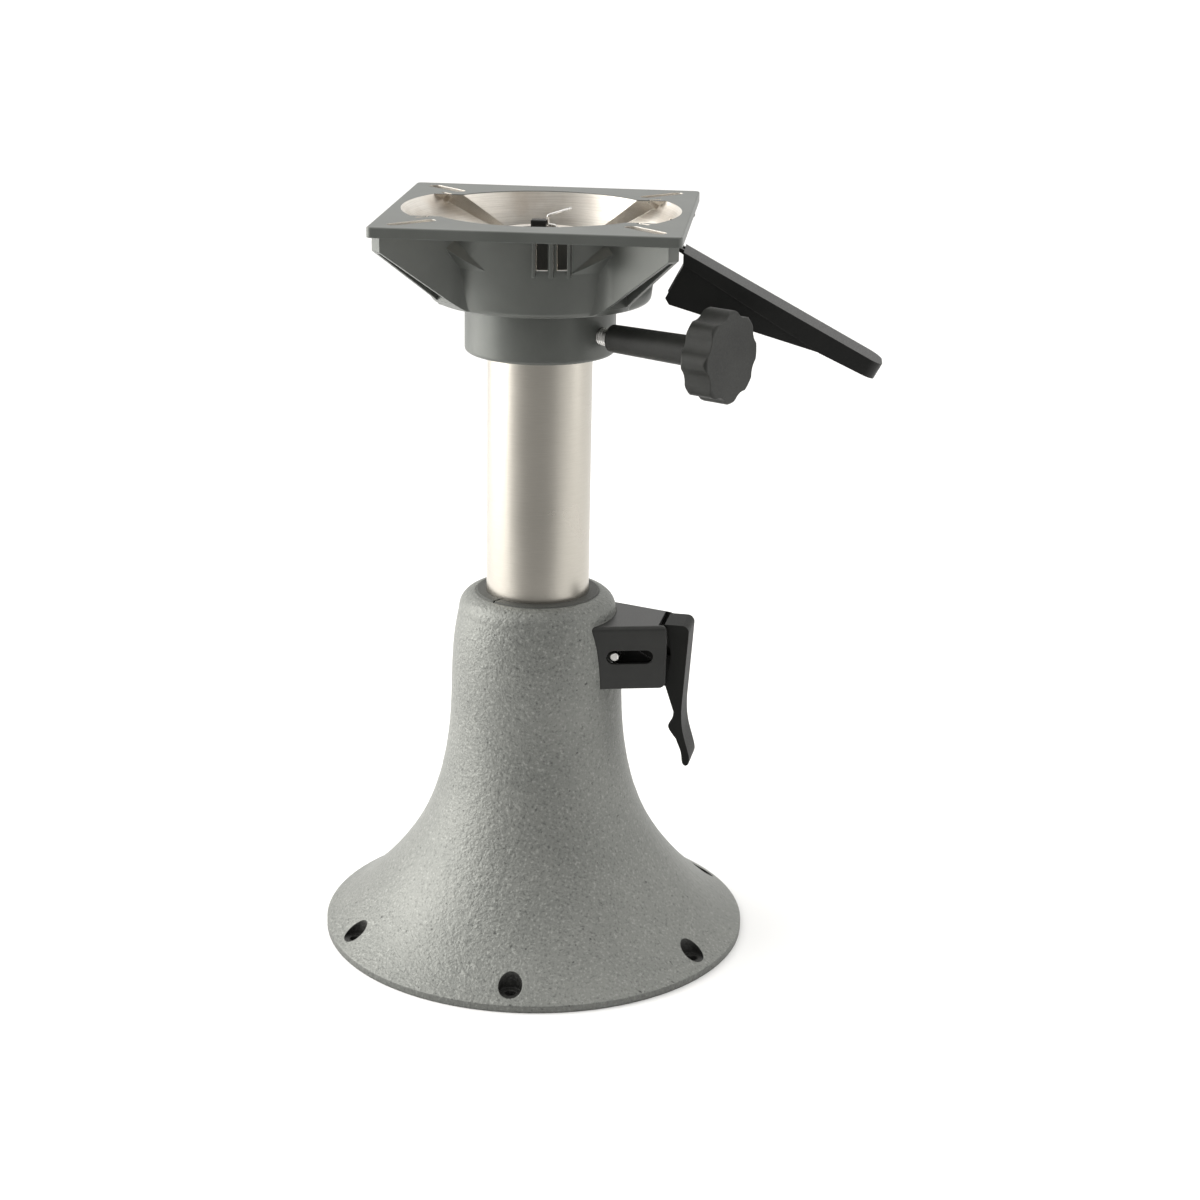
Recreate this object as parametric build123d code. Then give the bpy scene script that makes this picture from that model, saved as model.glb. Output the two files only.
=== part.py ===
from build123d import *
import math
import os

# Boat seat pedestal: bell base, telescopic post, swivelling seat mount.
# Origin on the axis of the post, in the plane of the deck. +Z is up.
# The seat plate is square to X and Y, and the handle points to +X.
# Lengths are in millimetres and angles in degrees.

os.makedirs("parts", exist_ok=True)

# Driving dimensions of the bell base
BASE_DIAMETER = 254.0
BASE_HEIGHT = 212.0
BASE_WALL = 4.6
RIM_HEIGHT = 4.0
NECK_RADIUS = 50.6
SHOULDER_RADIUS = 46.4
SHOULDER_DROP = 11.0
NECK_SWELL = 0.6
NECK_WAIST = 0.4
CROWN_WIDTH = 6.4
CROWN_DROP = 2.6
MOUTH_EDGE = 1.4
SLEEVE_WALL = 4.0
SLEEVE_LENGTH = 80.0
NECK_RIB_COUNT = 6
NECK_RIB_THICKNESS = 4.0
DECK_HOLE_COUNT = 6
DECK_HOLE_RADIUS = 3.3
DECK_HOLE_EDGE = 11.0
DECK_BOSS_RADIUS = 9.5
DECK_POCKET_RADIUS = 6.8
DECK_FLANGE = 6.6
DECK_HOLE_TURN = 30.0

# Driving dimensions of the post and what guides it
POST_DIAMETER = 60.33
POST_WALL = 2.5
POST_LENGTH = 266.0
POST_BELOW_SLEEVE = 20.0
SLIDE_FIT = 0.07
BUSHING_WALL = 6.2
BUSHING_LIP = 3.0
BUSHING_LIP_HEIGHT = 3.6
BUSHING_PROUD = 0.8
BUSHING_SPLIT = 1.2
BUSHING_SPLIT_AT = -128.0
BUSHING_SPLIT_STEP = 18.0
BUSHING_SPLIT_DEPTH = 9.0
STOP_RING_OVERHANG = 4.4
STOP_RING_HEIGHT = 5.0
STOP_SPIGOT_HEIGHT = 10.0
STOP_RING_WALL = 3.0

# Driving dimensions of the plug and washer at the top of the post
PLUG_FLANGE = 5.0
PLUG_PLATE = 7.0
PLUG_LENGTH = 16.0
PLUG_WALL = 5.5
PLUG_BORE = 6.0
WASHER_HEIGHT = 1.7
WASHER_INNER = 19.5
SWIVEL_GAP = 0.2

# Driving dimensions of the seat mount
PLATE_SIZE = 169.0
PLATE_THICKNESS = 5.7
PLATE_CORNER = 3.0
PLATE_EDGE = 0.9
COLLAR_RADIUS = 43.2
COLLAR_LENGTH = 30.0
COLLAR_BEARING = 3.2
DRUM_FOOT_WALL = 4.2
DRUM_MOUTH_WALL = 3.0
DRUM_EDGE = 3.5
FLOOR_THICKNESS = 6.1
CAST_WALL = 3.5
BOWL_FLOOR_RADIUS = 58.4
BOWL_FLARE = 7.0
BOWL_DEPTH = 46.0
BOWL_CORNER = 6.0
POCKET_MARGIN = 5.5
POCKET_SLOPE = 0.65
POCKET_SPREAD = 3.0
HUB_RADIUS = 28.0
HUB_HOLE_RADIUS = 19.0
HUB_HEIGHT = 33.0
WING_REACH = 113.0
WING_BLUNT = 8.0
WING_ROOT_HALF = 8.0
WING_TIP_HALF = 3.6
WING_FLARE = 10.0
WING_JOINT = 4.0
WING_WALL = 2.2
SEAT_SLOT_START = 74.0
SEAT_SLOT_LENGTH = 31.0
SEAT_SLOT_WIDTH = 7.5
NOTCH_RADIUS = 75.0
NOTCH_ANGLE = 36.0
NOTCH_LENGTH = 8.0
NOTCH_WIDTH = 3.0

# Driving dimensions of the windows, handle and swivel lock
WINDOW_WIDTH = 6.4
WINDOW_HEIGHT = 17.3
WINDOW_PITCH = 11.0
WINDOW_MIDDLE = 13.5
WINDOW_BELOW_PLATE = 1.0
WINDOW_RIB = 1.6
WINDOW_RIB_PROUD = 2.6
WINDOW_RIB_BELOW = 2.5
PRONG_THICKNESS = 3.5
PRONG_HEIGHT = 7.2
PRONG_SHIFT = 0.6
PRONG_ROOM = 0.7
LUG_ROOM = 1.4
PIVOT_X = 34.0
PIVOT_BELOW_TOP = 25.0
PIVOT_PIN_RADIUS = 2.5
PIVOT_EYE_RADIUS = 5.0
HINGE_FIT = 0.08
HANDLE_LIFT = 12.0
HANDLE_WIDTH = 28.0
HANDLE_WALL = 3.0
HANDLE_PLATE_EDGE = 7.0
HANDLE_WEB_INSET = 1.5
HANDLE_ROOT_GAP = 12.1
HANDLE_BELOW_TOP = 22.2
HANDLE_LENGTH = 114.5
HANDLE_DROP = 61.0
HANDLE_TIP_DEPTH = 8.5
HANDLE_WEB_BACK = 7.5
HANDLE_WEB_DEPTH = 30.3
HANDLE_WEB_LENGTH = 78.5
HANDLE_WEB_DROP = 54.8
HANDLE_MOUTH_DEPTH = 14.0
HANDLE_NOSE = 12.0
HANDLE_TIP_CORNER = 8.0
PIVOT_END = 1.6
PIVOT_CLIP_GAP = 0.3
PIVOT_CLIP_THICKNESS = 0.9
PIVOT_CLIP_WIDTH = 1.7
PIVOT_CLIP_OPENING = 2.6
LOCK_X = -3.0
LOCK_Y = 13.7
LOCK_PIN_RADIUS = 3.0
LOCK_HOLE_RADIUS = 3.4
LOCK_STEPS = 8
LOCK_TIP_GAP = 1.4
LOCK_CROSS_RADIUS = 1.6
LOCK_CROSS_FIT = 0.12
LOCK_BOSS_RADIUS = 6.0
LOCK_BOSS_HEIGHT = 7.0
CAP_SIZE = 8.6
CAP_DEPTH = 6.4
CAP_HEIGHT = 11.5
CAP_TOP_BELOW_PLATE = 8.6
CAP_ROOF = 3.0
CLIP_WIRE = 0.8

# Driving dimensions of the friction knob
KNOB_AZIMUTH = -30.4
KNOB_ABOVE_COLLAR = 13.6
KNOB_STEM_GAP = 6.8
KNOB_STEM_LENGTH = 63.0
KNOB_HEAD_DEPTH = 17.0
KNOB_STEM_RADIUS = 7.8
KNOB_STEM_END_RADIUS = 8.7
KNOB_HEAD_RADIUS = 26.0
KNOB_LOBES = 8
KNOB_LOBE_DEPTH = 3.2
KNOB_FACE_ROUND = 2.0
KNOB_BACK_ROUND = 2.0
STUD_RADIUS = 5.0
STUD_FIT = 0.05
STUD_GAP = 0.3
STUD_GRIP = 30.0

# Driving dimensions of the height latch, set out along a radius at its azimuth
LATCH_AZIMUTH = -5.5
SHEET = 2.6
BRACKET_CUT = 50.0
BRACKET_BELOW_TOP = 12.0
BRACKET_HEIGHT = 37.8
BRACKET_LENGTH = 24.2
BRACKET_SIDE_LIP = 5.1
BRACKET_END_HALF = 16.2
BRACKET_TAPER = 17.1
BRACKET_CORNER = 3.5
LAND_DEPTH = 1.6
LAND_INNER = 13.6
LAND_OUTER = 20.3
LAND_HEIGHT = 9.5
LAND_LOW_EDGE = 1.0
LAND_TOP_GAP = 0.4
EAR_INSET = 0.8
EAR_THICKNESS = 2.5
EAR_SCREW_RADIUS = 1.9
EAR_SCREW_SHIFT = 0.25
EAR_SCREW_SLOT = 0.8
EAR_SCREW_HEAD = 2.7
EAR_SCREW_HEAD_HEIGHT = 2.0
EAR_SCREW_LENGTH = 10.0
PIN_PAST_LAND = 1.7
PIN_BELOW_TOP = 18.5
PIN_RADIUS = 2.6
PIN_SLOT_HALF = 4.2
PIN_SLOT_TRAVEL = 17.9
PIN_ROOM = 0.6
PIN_END_GAP = 0.2
RING_GAP = 0.15
RING_THICKNESS = 1.0
RING_WIDTH = 1.6
RING_OPENING = 3.0
SHOE_HALF_WIDTH = 8.5
SHOE_HALF_HEIGHT = 9.0
SHOE_HEEL = 6.8
SHOE_GAP = 0.25
SHOE_GUIDE_GAP = 0.3
LEVER_HALF = 11.2
LEVER_SHEET = 2.2
LEVER_EYE_RADIUS = 7.0
LEVER_SIDE_ROOM = 1.7
LEVER_EYE_ROOM = 4.0
LEVER_LENGTH = 87.1
LEVER_THROAT_REACH = 4.5
LEVER_THROAT_LENGTH = 54.0
LEVER_HOOK_REACH = 11.7
LEVER_HOOK_START = 50.0
LEVER_HOOK_END = 75.0
LEVER_NOTCH_GAP = 1.0

# Sizes worked out from the driving dimensions
BASE_RADIUS = BASE_DIAMETER / 2
DECK_HOLE_CIRCLE = BASE_RADIUS - DECK_HOLE_EDGE
POST_RADIUS = POST_DIAMETER / 2
POST_INNER = POST_RADIUS - POST_WALL
BUSHING_INNER = POST_RADIUS + SLIDE_FIT
BUSHING_OUTER = BUSHING_INNER + BUSHING_WALL
NECK_BORE = BUSHING_OUTER + 0.1
SLEEVE_BOTTOM = BASE_HEIGHT - SLEEVE_LENGTH
POST_BOTTOM = SLEEVE_BOTTOM - POST_BELOW_SLEEVE
POST_TOP = POST_BOTTOM + POST_LENGTH
SLEEVE_OUTER = NECK_BORE + SLEEVE_WALL
PLUG_TOP = POST_TOP + PLUG_FLANGE
FLOOR_BOTTOM = PLUG_TOP + WASHER_HEIGHT + SWIVEL_GAP
FLOOR_TOP = FLOOR_BOTTOM + FLOOR_THICKNESS
DRUM_BOTTOM = FLOOR_TOP - CAST_WALL - 1.5
COLLAR_BOTTOM = DRUM_BOTTOM - COLLAR_LENGTH
COLLAR_BORE = BUSHING_INNER + COLLAR_BEARING
PLATE_TOP = FLOOR_TOP + BOWL_DEPTH
PLATE_BOTTOM = PLATE_TOP - PLATE_THICKNESS
PLATE_HALF = PLATE_SIZE / 2
BOWL_MOUTH_RADIUS = BOWL_FLOOR_RADIUS + BOWL_FLARE
DRUM_BOTTOM_RADIUS = BOWL_FLOOR_RADIUS + DRUM_FOOT_WALL
DRUM_TOP_RADIUS = BOWL_MOUTH_RADIUS + DRUM_MOUTH_WALL
POCKET_MOUTH_RADIUS = PLATE_HALF - POCKET_MARGIN
POCKET_BARREL = BOWL_FLOOR_RADIUS + POCKET_SPREAD
HUB_TOP = FLOOR_TOP + HUB_HEIGHT
PIVOT_Z = PLATE_TOP - PIVOT_BELOW_TOP
WINDOW_TOP = PLATE_BOTTOM - WINDOW_BELOW_PLATE
WINDOW_BOTTOM = WINDOW_TOP - WINDOW_HEIGHT
LOCK_CIRCLE = math.hypot(LOCK_X, LOCK_Y)
LOCK_TIP_Z = PLUG_TOP + LOCK_TIP_GAP
LOCK_ARM = PIVOT_X - LOCK_X
LOCK_TRAVEL = LOCK_ARM * math.tan(math.radians(HANDLE_LIFT))
CAP_TOP = PLATE_TOP - CAP_TOP_BELOW_PLATE
PRONG_NEAR_Y = WINDOW_MIDDLE - WINDOW_PITCH / 2 - PRONG_THICKNESS / 2 + PRONG_SHIFT
PRONG_FAR_Y = WINDOW_MIDDLE + WINDOW_PITCH / 2 - PRONG_THICKNESS / 2 - PRONG_SHIFT
HANDLE_ROOT_X = DRUM_TOP_RADIUS + HANDLE_ROOT_GAP
HANDLE_TOP_Z = PLATE_TOP - HANDLE_BELOW_TOP
HANDLE_TIP_X = HANDLE_ROOT_X + HANDLE_LENGTH
HANDLE_TIP_TOP_Z = HANDLE_TOP_Z - HANDLE_DROP
HANDLE_WEB_CORNER_X = HANDLE_ROOT_X - HANDLE_WEB_BACK
HANDLE_WEB_CORNER_Z = HANDLE_TOP_Z - HANDLE_WEB_DEPTH
HANDLE_WEB_END_X = HANDLE_ROOT_X + HANDLE_WEB_LENGTH
HANDLE_WEB_END_Z = HANDLE_TOP_Z - HANDLE_WEB_DROP
KNOB_Z = COLLAR_BOTTOM + KNOB_ABOVE_COLLAR
KNOB_STEM_START = COLLAR_RADIUS + KNOB_STEM_GAP
KNOB_HEAD_START = KNOB_STEM_START + KNOB_STEM_LENGTH
LAND_FACE = NECK_RADIUS - LAND_DEPTH
PIN_REACH = LAND_FACE + PIN_PAST_LAND
SHOE_BACK = PIN_REACH + SHOE_HEEL
BRACKET_REACH = PIN_REACH + BRACKET_LENGTH
BRACKET_SIDE_REACH = BRACKET_REACH + BRACKET_SIDE_LIP
BRACKET_TOP = BASE_HEIGHT - BRACKET_BELOW_TOP
PIN_Z = BRACKET_TOP - PIN_BELOW_TOP
BRACKET_BOTTOM = BRACKET_TOP - BRACKET_HEIGHT
NUDGE = 0.01


def cylinder_between(radius, low, high):
    """Upright cylinder on the axis of the post from one height to another."""
    return Pos(0, 0, (low + high) / 2) * Cylinder(radius, high - low)


def tube_between(outer, inner, low, high):
    """Upright tube on the axis of the post."""
    return cylinder_between(outer, low, high) - cylinder_between(inner, low - 1, high + 1)


def block(x_range, y_range, z_range):
    """Box given by its limits along X, Y and Z."""
    size = [high - low for low, high in (x_range, y_range, z_range)]
    middle = [(high + low) / 2 for low, high in (x_range, y_range, z_range)]
    return Pos(*middle) * Box(*size)


def side_prism(outline, y_low, y_high):
    """Prism with an outline in the XZ plane, between two values of Y."""
    points = [(x, y_low, z) for x, z in outline]
    face = make_face(Polyline(*points, close=True))
    return extrude(face, amount=y_high - y_low, dir=(0, 1, 0))


def side_cylinder(x, z, radius, y_low, y_high):
    """Cylinder along Y, centred at X and Z."""
    middle = (y_low + y_high) / 2
    return Pos(x, middle, z) * Rot(90, 0, 0) * Cylinder(radius, y_high - y_low)


def radial_cylinder(radius, start, end, z=0.0, y=0.0):
    """Cylinder along X between two distances from the axis."""
    return Pos((start + end) / 2, y, z) * Rot(0, 90, 0) * Cylinder(radius, end - start)


def bell_outline():
    """Points of the flared outside of the bell, from the rim up to the shoulder."""
    flare = BASE_RADIUS - NECK_RADIUS
    # The heights below are drawn for a bell 212 mm tall
    rise = BASE_HEIGHT / 212.0
    return [
        (BASE_RADIUS, RIM_HEIGHT),
        (NECK_RADIUS + 0.794 * flare, 15.0 * rise),
        (NECK_RADIUS + 0.493 * flare, 38.0 * rise),
        (NECK_RADIUS + 0.227 * flare, 68.0 * rise),
        (NECK_RADIUS + 0.066 * flare, 104.0 * rise),
        (NECK_RADIUS + NECK_SWELL, 140.0 * rise),
        (NECK_RADIUS - NECK_WAIST, 172.0 * rise),
        (SHOULDER_RADIUS, BASE_HEIGHT - SHOULDER_DROP),
    ]


def moved_inward(points, distance):
    """The same points moved towards the inside of the bell, square to the outline."""
    moved = []
    last = len(points) - 1
    for index, (radius, z) in enumerate(points):
        before = points[max(index - 1, 0)]
        after = points[min(index + 1, last)]
        run, rise = after[0] - before[0], after[1] - before[1]
        length = math.hypot(run, rise)
        moved.append((radius - distance * rise / length, z + distance * run / length))
    return moved


def bell_solid():
    """Solid of revolution with the outside form of the bell."""
    outline = bell_outline()
    foot = Line((0, 0, 0), (BASE_RADIUS, 0, 0))
    rim = Line((BASE_RADIUS, 0, 0), (BASE_RADIUS, 0, RIM_HEIGHT))
    flare = Spline(*[(radius, 0, z) for radius, z in outline])
    crown = ThreePointArc(
        (SHOULDER_RADIUS, 0, BASE_HEIGHT - SHOULDER_DROP),
        (NECK_BORE + CROWN_WIDTH, 0, BASE_HEIGHT - CROWN_DROP),
        (NECK_BORE + MOUTH_EDGE, 0, BASE_HEIGHT),
    )
    top = Line((NECK_BORE + MOUTH_EDGE, 0, BASE_HEIGHT), (0, 0, BASE_HEIGHT))
    axis = Line((0, 0, BASE_HEIGHT), (0, 0, 0))
    return revolve(make_face([foot, rim, flare, crown, top, axis]), Axis.Z)


def bell_cavity():
    """Hollow of the bell, open at the deck."""
    inner = moved_inward(bell_outline(), BASE_WALL)
    first = (inner[0][0], 0, -NUDGE)
    roof = inner[-1][1]
    up = Line(first, (inner[0][0], 0, max(inner[0][1], 1.0)))
    wall = Spline((inner[0][0], 0, max(inner[0][1], 1.0)), *[(r, 0, z) for r, z in inner[1:]])
    ceiling = Line((inner[-1][0], 0, roof), (0, 0, roof))
    axis = Line((0, 0, roof), (0, 0, -NUDGE))
    floor = Line((0, 0, -NUDGE), first)
    return revolve(make_face([up, wall, ceiling, axis, floor]), Axis.Z)


def at_latch(shape):
    """Turn a shape set out along +X to the azimuth of the height latch."""
    return Rot(0, 0, LATCH_AZIMUTH) * shape


def make_bell_base():
    """Cast bell with guide sleeve, ribs, deck bosses and lands for the latch."""
    outside = bell_solid()
    bell = outside - bell_cavity()
    bell += cylinder_between(SLEEVE_OUTER, SLEEVE_BOTTOM, BASE_HEIGHT - 3)
    rib_inner = NECK_BORE + 1
    rib = block((rib_inner, NECK_RADIUS + 4), (-NECK_RIB_THICKNESS / 2, NECK_RIB_THICKNESS / 2),
                (SLEEVE_BOTTOM, BASE_HEIGHT - SHOULDER_DROP))
    for index in range(NECK_RIB_COUNT):
        turn = LATCH_AZIMUTH + (index + 0.5) * 360 / NECK_RIB_COUNT
        bell += (Rot(0, 0, turn) * rib) & outside
    for index in range(DECK_HOLE_COUNT):
        turn = Rot(0, 0, DECK_HOLE_TURN + index * 360 / DECK_HOLE_COUNT)
        at_hole = turn * Pos(DECK_HOLE_CIRCLE, 0, 0)
        bell += (at_hole * cylinder_between(DECK_BOSS_RADIUS, 0, BASE_HEIGHT / 2)) & outside
    for side in (-1, 1):
        for low in land_heights():
            land = block((SLEEVE_OUTER, LAND_FACE), sorted((side * LAND_INNER, side * LAND_OUTER)),
                         (low, low + LAND_HEIGHT))
            bell += at_latch(land)
    bell -= cylinder_between(NECK_BORE, SLEEVE_BOTTOM - 1, BASE_HEIGHT + 1)
    for index in range(DECK_HOLE_COUNT):
        turn = Rot(0, 0, DECK_HOLE_TURN + index * 360 / DECK_HOLE_COUNT)
        at_hole = turn * Pos(DECK_HOLE_CIRCLE, 0, 0)
        bell -= at_hole * cylinder_between(DECK_HOLE_RADIUS, -1, BASE_HEIGHT / 4)
        bell -= at_hole * cylinder_between(DECK_POCKET_RADIUS, DECK_FLANGE, BASE_HEIGHT / 4)
    guide_half = SHOE_HALF_WIDTH + SHOE_GUIDE_GAP
    guide_height = SHOE_HALF_HEIGHT + SHOE_GUIDE_GAP
    guide = block((NECK_BORE - 8, LAND_FACE + 2), (-guide_half, guide_half),
                  (PIN_Z - guide_height, PIN_Z + guide_height))
    window_half = LEVER_HALF + LEVER_SIDE_ROOM
    window_height = LEVER_EYE_RADIUS + LEVER_EYE_ROOM
    window = block((SLEEVE_OUTER + 0.4, LAND_FACE + 2), (-window_half, window_half),
                   (PIN_Z - window_height, PIN_Z + window_height))
    groove_half = PIN_SLOT_HALF + PIN_ROOM
    groove = block((PIN_REACH - PIN_RADIUS - PIN_ROOM, LAND_FACE + 12), (-NECK_RADIUS / 2, NECK_RADIUS / 2),
                   (PIN_Z - groove_half, PIN_Z + groove_half))
    bell -= at_latch(guide + window + groove)
    for y, z in ear_screw_places():
        bell -= at_latch(radial_cylinder(EAR_SCREW_RADIUS, screw_end(), LAND_FACE + 1, z, y))
    return bell


def land_heights():
    """Lower edges of the two cast lands on each side of the latch window."""
    low = BRACKET_BOTTOM + LAND_LOW_EDGE
    high = BRACKET_TOP - SHEET - LAND_TOP_GAP - LAND_HEIGHT
    return [low, high]


def ear_screw_places():
    """Y and Z of the screws that hold the bracket's ears to the lands."""
    middle = (LAND_INNER + LAND_OUTER) / 2 + EAR_SCREW_SHIFT
    return [(side * middle, low + LAND_HEIGHT / 2) for side in (-1, 1) for low in land_heights()]


def screw_end():
    """Distance of the ear screws' tips from the axis of the post."""
    return LAND_FACE + EAR_THICKNESS - EAR_SCREW_LENGTH


def split_slot(angle_one, angle_two, low, high):
    """Cut of a stepped split: two upright slots joined by a level one."""
    reach = BUSHING_OUTER + BUSHING_LIP + 2
    half = BUSHING_SPLIT / 2
    step = high - BUSHING_SPLIT_DEPTH
    upper = Rot(0, 0, angle_one) * block((POST_INNER, reach), (-half, half), (step - half, high + 1))
    lower = Rot(0, 0, angle_two) * block((POST_INNER, reach), (-half, half), (low - 1, step + half))
    start, sweep = min(angle_one, angle_two), abs(angle_two - angle_one)
    level = Pos(0, 0, step - half) * Rot(0, 0, start) * Cylinder(
        reach, 2 * half, arc_size=sweep, align=(Align.CENTER, Align.CENTER, Align.MIN))
    return upper + lower + level


def make_neck_bushing():
    """Split plastic bushing that guides the post and takes the clamp shoe's push."""
    low = SLEEVE_BOTTOM - BUSHING_LIP_HEIGHT
    high = BASE_HEIGHT + BUSHING_PROUD
    bushing = cylinder_between(BUSHING_OUTER, SLEEVE_BOTTOM - NUDGE, high)
    bushing += cylinder_between(BUSHING_OUTER + BUSHING_LIP, low, SLEEVE_BOTTOM)
    bushing = chamfer(bushing.edges().group_by(Axis.Z)[-1], 0.8)
    bushing -= cylinder_between(BUSHING_INNER, low - 1, high + 1)
    return bushing - split_slot(BUSHING_SPLIT_AT, BUSHING_SPLIT_AT - BUSHING_SPLIT_STEP, low, high)


def bracket_half_at(reach):
    """Half of the bracket's outside width at a distance from the axis."""
    return BRACKET_END_HALF + (BRACKET_REACH - reach) * math.tan(math.radians(BRACKET_TAPER))


def bracket_wedge(inset, low, high, reach):
    """Tapered block with the bracket's plan, moved in by an inset."""
    start = SLEEVE_OUTER - 6
    near, far = bracket_half_at(start) - inset, bracket_half_at(reach) - inset
    plan = make_face(Polyline((start, -near, low), (reach, -far, low), (reach, far, low),
                              (start, near, low), close=True))
    return extrude(plan, amount=high - low, dir=(0, 0, 1))


def make_latch_bracket():
    """Folded sheet bracket: top, two slotted sides and four ears."""
    side_inset = SHEET / math.cos(math.radians(BRACKET_TAPER))
    bracket = bracket_wedge(0, BRACKET_BOTTOM, BRACKET_TOP, BRACKET_SIDE_REACH)
    fold_edges = bracket.edges().filter_by(lambda e: abs(e.center().Y) > 10
                                           and e.center().Z > BRACKET_TOP - 1
                                           and e.length > BRACKET_END_HALF * 2)
    bracket = fillet(fold_edges, SHEET)
    hollow_reach = BRACKET_SIDE_REACH + 5
    bracket -= bracket_wedge(side_inset, BRACKET_BOTTOM - 1, BRACKET_TOP - SHEET, hollow_reach)
    bracket -= bracket_wedge(side_inset, BRACKET_BOTTOM, BRACKET_TOP + 1, hollow_reach) & block(
        (BRACKET_REACH, hollow_reach), (-BRACKET_END_HALF, BRACKET_END_HALF),
        (BRACKET_BOTTOM, BRACKET_TOP + 1))
    corner = BRACKET_CORNER
    reach = BRACKET_SIDE_REACH
    for level, outside in ((BRACKET_BOTTOM, -1), (BRACKET_TOP, 1)):
        inside = level - outside * corner
        square = block((reach - corner, reach + 1), (-BRACKET_CUT, BRACKET_CUT),
                       sorted((inside, level + outside)))
        bracket -= square - side_cylinder(reach - corner, inside, corner, -BRACKET_CUT - 1, BRACKET_CUT + 1)
    slot = side_cylinder(PIN_REACH, PIN_Z, PIN_SLOT_HALF, -BRACKET_CUT, BRACKET_CUT)
    slot += side_cylinder(PIN_REACH + PIN_SLOT_TRAVEL, PIN_Z, PIN_SLOT_HALF, -BRACKET_CUT, BRACKET_CUT)
    slot += block((PIN_REACH, PIN_REACH + PIN_SLOT_TRAVEL), (-BRACKET_CUT, BRACKET_CUT),
                  (PIN_Z - PIN_SLOT_HALF, PIN_Z + PIN_SLOT_HALF))
    bracket -= slot
    for side in (-1, 1):
        outer = bracket_half_at(LAND_FACE + EAR_THICKNESS) - SHEET / 2
        for low in land_heights():
            ear = block((LAND_FACE, LAND_FACE + EAR_THICKNESS),
                        sorted((side * (LAND_INNER + EAR_INSET), side * outer)), (low, low + LAND_HEIGHT))
            bracket += ear
    for y, z in ear_screw_places():
        bracket -= radial_cylinder(EAR_SCREW_RADIUS, LAND_FACE - 1, LAND_FACE + 5, z, y)
    return at_latch(bracket) - bell_solid()


def make_bracket_screws():
    """Four small screws that hold the bracket's ears."""
    screws = []
    seat = LAND_FACE + EAR_THICKNESS
    for y, z in ear_screw_places():
        screw = radial_cylinder(EAR_SCREW_RADIUS, screw_end(), seat + NUDGE, z, y)
        screw += radial_cylinder(EAR_SCREW_HEAD, seat, seat + EAR_SCREW_HEAD_HEIGHT, z, y)
        screw -= block((seat + EAR_SCREW_HEAD_HEIGHT - EAR_SCREW_SLOT, seat + EAR_SCREW_LENGTH),
                       (y - EAR_SCREW_SLOT / 2, y + EAR_SCREW_SLOT / 2),
                       (z - EAR_SCREW_HEAD - 1, z + EAR_SCREW_HEAD + 1))
        screws.append(at_latch(screw))
    return Compound(children=screws)


def make_clamp_shoe():
    """Block in the neck's window whose hollow face presses on the split bushing."""
    shoe = block((BUSHING_INNER, SHOE_BACK), (-SHOE_HALF_WIDTH, SHOE_HALF_WIDTH),
                 (PIN_Z - SHOE_HALF_HEIGHT, PIN_Z + SHOE_HALF_HEIGHT))
    shoe -= cylinder_between(BUSHING_OUTER + SHOE_GAP, 0, BASE_HEIGHT)
    shoe -= side_cylinder(PIN_REACH, PIN_Z, PIN_RADIUS, -20, 20)
    back_edges = shoe.edges().group_by(Axis.X)[-1]
    return at_latch(chamfer(back_edges, 0.8))


def make_lever_pin():
    """Cross pin of the lever, riding in the bracket's slots."""
    half = bracket_half_at(PIN_REACH + PIN_RADIUS) - PIN_END_GAP
    pin = side_cylinder(PIN_REACH, PIN_Z, PIN_RADIUS, -half, half)
    pin = chamfer(pin.edges().filter_by(GeomType.CIRCLE), 0.5)
    return at_latch(pin)


def make_pin_rings():
    """Two retaining rings on the cross pin, outside the lever's flanges."""
    rings = []
    for side in (-1, 1):
        inner = LEVER_HALF + RING_GAP
        near, far = sorted((side * inner, side * (inner + RING_THICKNESS)))
        ring = side_cylinder(PIN_REACH, PIN_Z, PIN_RADIUS + RING_WIDTH, near, far)
        ring -= side_cylinder(PIN_REACH, PIN_Z, PIN_RADIUS, near - 1, far + 1)
        gap = block((PIN_REACH - RING_OPENING / 2, PIN_REACH + RING_OPENING / 2), (near - 1, far + 1),
                    (PIN_Z - PIN_RADIUS - RING_WIDTH - 1, PIN_Z))
        rings.append(at_latch(ring - gap))
    return Compound(children=rings)


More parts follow.
